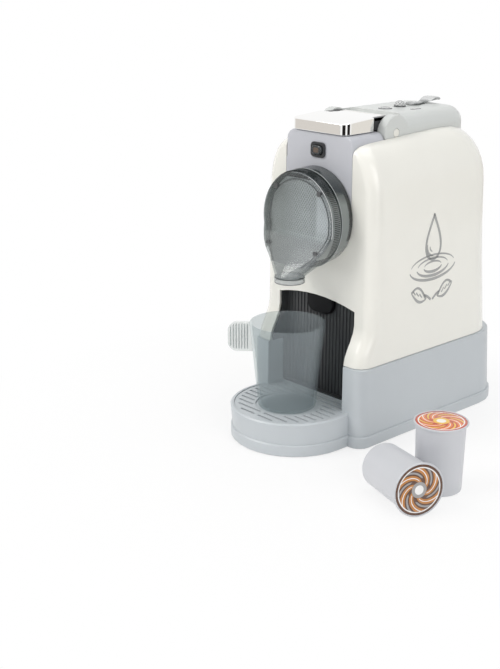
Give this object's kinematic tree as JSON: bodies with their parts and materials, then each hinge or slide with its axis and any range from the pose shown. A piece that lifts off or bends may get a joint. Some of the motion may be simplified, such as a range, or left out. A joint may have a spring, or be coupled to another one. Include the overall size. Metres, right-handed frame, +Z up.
{
  "type": "toy coffee maker",
  "caption": "Play pod coffee maker with a smoke brew drum over a drip tray, a lid that opens on a pod well, press keys, a loose cup and two pods.",
  "frame": {"origin": "on the underside of the base, in the plane of symmetry and below the flat face of the grey front panel", "axes": "+Z up, -Y towards the cup and the drip tray, +X to the side on which the oval lens and the pods lie"},
  "size_m": [0.2342, 0.2576, 0.2562],
  "materials": {
    "base_grey": "satin light grey",
    "body_white": "glossy warm white",
    "strip_grey": "satin light grey",
    "deck_grey": "satin pale grey",
    "lid_chrome": "bright chromed plastic",
    "gloss_black": "gloss black",
    "satin_black": "satin black",
    "smoke_clear": "clear smoke tint",
    "cup_smoke": "clear blue-grey smoke tint",
    "clear": "clear",
    "screen_steel": "fine mesh look",
    "bright_steel": "bright",
    "pod_grey": "satin pale grey",
    "pod_print_red": "printed film, red and orange",
    "pod_print_brown": "printed film, brown and orange",
    "board_green": "satin green",
    "cell_jacket": "satin dark",
    "nickel": "nickel plate"
  },
  "bodies": {
    "housing": {"base_shell": "base_grey", "bottom_plate": "base_grey", "base_screw_1": "bright_steel", "base_screw_2": "bright_steel", "base_screw_3": "bright_steel", "base_screw_4": "bright_steel", "battery_box": "base_grey", "battery_door": "base_grey", "door_screw": "bright_steel", "battery_1": "cell_jacket", "battery_2": "cell_jacket", "battery_3": "cell_jacket", "contact_front": "nickel", "contact_rear": "nickel", "speaker": "cell_jacket", "body_shell": "body_white", "front_panel": "strip_grey", "back_panel": "satin_black", "splash_tongue": "gloss_black", "drum_back": "smoke_clear", "drum_front": "smoke_clear", "drum_screen": "screen_steel", "drum_screw_1": "bright_steel", "drum_screw_2": "bright_steel", "drum_screw_3": "bright_steel", "drum_screw_4": "bright_steel", "spout_ring": "smoke_clear", "pod_well": "deck_grey", "well_screw_left": "bright_steel", "well_screw_right": "bright_steel", "rear_deck": "deck_grey", "circuit_board": "board_green", "board_screw_1": "bright_steel", "board_screw_2": "bright_steel", "ring_switch": "satin_black", "lamp_led": "clear", "lamp_dome": "clear", "oval_lens": "smoke_clear", "hinge_pin_left": "bright_steel", "hinge_pin_right": "bright_steel", "front_bezel": "satin_black", "front_switch": "satin_black", "rocker_pin": "bright_steel"},
    "lid": {"lid": "lid_chrome"},
    "grille": {"drip_grille": "base_grey"},
    "toy_cup": {"cup": "cup_smoke"},
    "front_key": {"front_button": "smoke_clear"},
    "ring_key": {"ring_button": "clear"},
    "rocker_key": {"rocker": "clear"},
    "standing_pod": {"pod_standing_cup": "pod_grey", "pod_standing_lid": "pod_print_red"},
    "lying_pod": {"pod_lying_cup": "pod_grey", "pod_lying_lid": "pod_print_brown"}
  },
  "joints": [
    {"name": "lid_hinge", "type": "hinge", "parent": "housing", "child": "lid", "pos_m": [0, 0.049, 0.238], "axis": [-1, 0, 0], "range_deg": [0, 85]},
    {"name": "grille_lift", "type": "slide", "parent": "housing", "child": "grille", "axis": [0, 0, 1], "range_m": [0, 0.02]},
    {"name": "cup_pull", "type": "slide", "parent": "grille", "child": "toy_cup", "axis": [0, -0.9063, 0.4226], "range_m": [0, 0.16]},
    {"name": "front_key_press", "type": "slide", "parent": "housing", "child": "front_key", "axis": [0, 1, 0], "range_m": [0, 0.0015], "stiffness_N_per_m": 300, "springref_m": -0.001},
    {"name": "ring_key_press", "type": "slide", "parent": "housing", "child": "ring_key", "axis": [0, 0, -1], "range_m": [0, 0.0012], "stiffness_N_per_m": 300, "springref_m": -0.001},
    {"name": "rocker_tilt", "type": "hinge", "parent": "housing", "child": "rocker_key", "pos_m": [0, 0.118, 0.2472], "axis": [-1, 0, 0], "range_deg": [0, 8], "stiffness_Nm_per_rad": 0.05, "springref_deg": -5.73},
    {"name": "standing_pod_lift", "type": "slide", "parent": "housing", "child": "standing_pod", "axis": [0, 0, 1], "range_m": [0, 0.1]},
    {"name": "lying_pod_lift", "type": "slide", "parent": "housing", "child": "lying_pod", "axis": [0.1034, -0.2372, 0.9659], "range_m": [0, 0.1]}
  ]
}
